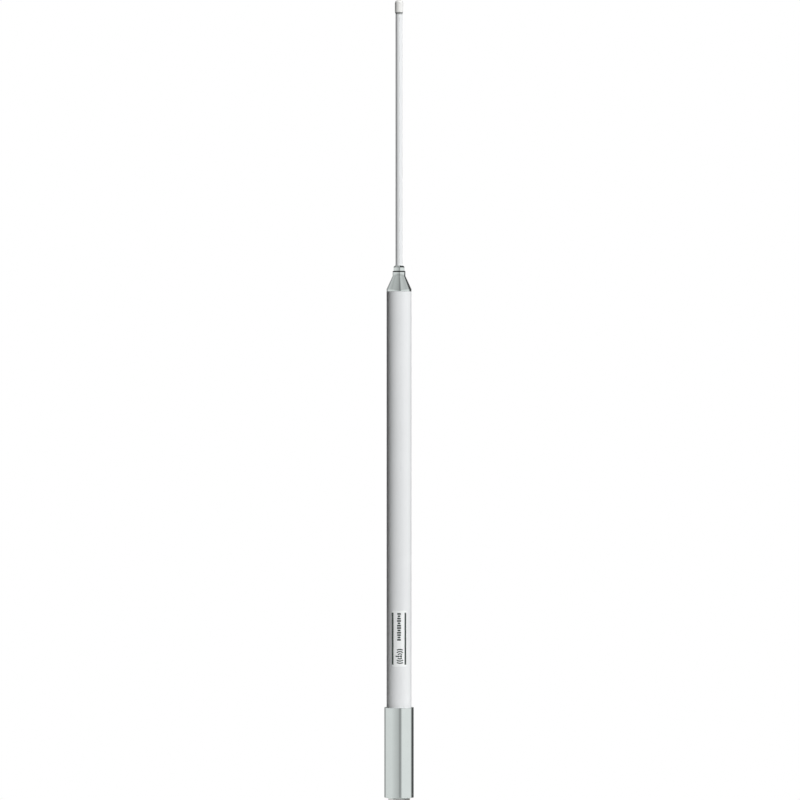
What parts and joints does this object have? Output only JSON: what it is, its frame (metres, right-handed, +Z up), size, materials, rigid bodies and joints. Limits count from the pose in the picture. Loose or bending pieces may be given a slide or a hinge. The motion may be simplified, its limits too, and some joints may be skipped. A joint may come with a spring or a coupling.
{
  "type": "omnidirectional antenna",
  "caption": "Slim vertical omnidirectional antenna: white fibreglass tube with a thin screw-on whip, a chromed mounting tube and an N-type jack at its foot.",
  "frame": {"origin": "centre of the mounting tube's bottom face, on the antenna's axis", "axes": "+Z up the antenna's axis towards the whip's tip, -Y out of the label, +X to the label's right"},
  "size_m": [0.03, 0.03, 0.8308],
  "materials": {
    "white_lacquer": "satin lacquer over glass fibre",
    "tip_plastic": "moulded satin",
    "label_film": "printed film",
    "mount_chrome": "chromed brass, polished",
    "ferrule_chrome": "chromed brass, polished",
    "nickel_brass": "nickel-plated brass",
    "plug_brass": "nickel-plated, turned",
    "gold_contact": "gold-plated",
    "raw_brass": "turned",
    "copper": "drawn",
    "tinned_braid": "tinned copper braid",
    "black_steel": "black oxide",
    "ptfe": "waxy",
    "polyethylene": "translucent",
    "foam_white": "closed-cell foam",
    "black_sheath": "extruded",
    "black_rubber": "moulded",
    "ferrite": "sintered, matt"
  },
  "bodies": {
    "antenna_base": {"mounting_tube": "mount_chrome", "base_plug": "plug_brass", "base_plug_o_ring": "black_rubber", "grub_screws": "black_steel", "connector_gasket": "black_rubber", "connector_shell": "nickel_brass", "connector_insulator": "ptfe", "connector_contact": "gold_contact", "crimp_ferrule": "nickel_brass", "cable_core": "copper", "cable_dielectric": "polyethylene", "cable_braid": "tinned_braid", "cable_jacket": "black_sheath", "choke_beads": "ferrite", "choke_heat_shrink": "black_sheath", "cable_spacers": "foam_white", "dipole_skirt": "raw_brass", "skirt_bush": "ptfe", "skirt_end_disc": "raw_brass", "skirt_spacers": "foam_white", "feed_insulator": "ptfe", "lower_radiator": "raw_brass", "radiator_spacers": "foam_white", "coil_former": "ptfe", "phasing_coil": "copper", "lower_radome": "white_lacquer", "radome_label": "label_film", "top_ferrule": "ferrule_chrome"},
    "joint_seal": {"joint_washer": "black_rubber"},
    "whip_section": {"whip_ferrule": "ferrule_chrome", "whip_tube": "white_lacquer", "upper_radiator": "copper", "radiator_beads": "polyethylene", "tip_cap": "tip_plastic"}
  },
  "joints": [
    {"name": "whip_rise", "type": "slide", "parent": "antenna_base", "child": "joint_seal", "axis": [0, 0, 1], "range_m": [0, 0.0155]},
    {"name": "whip_turn", "type": "hinge", "parent": "joint_seal", "child": "whip_section", "pos_m": [0, 0, 0.536], "axis": [0, 0, 1], "range_deg": [0, 3600]}
  ],
  "couplings": [
    {"joint": "whip_rise", "follows": "whip_turn", "m_per_rad": 0.00023873}
  ]
}
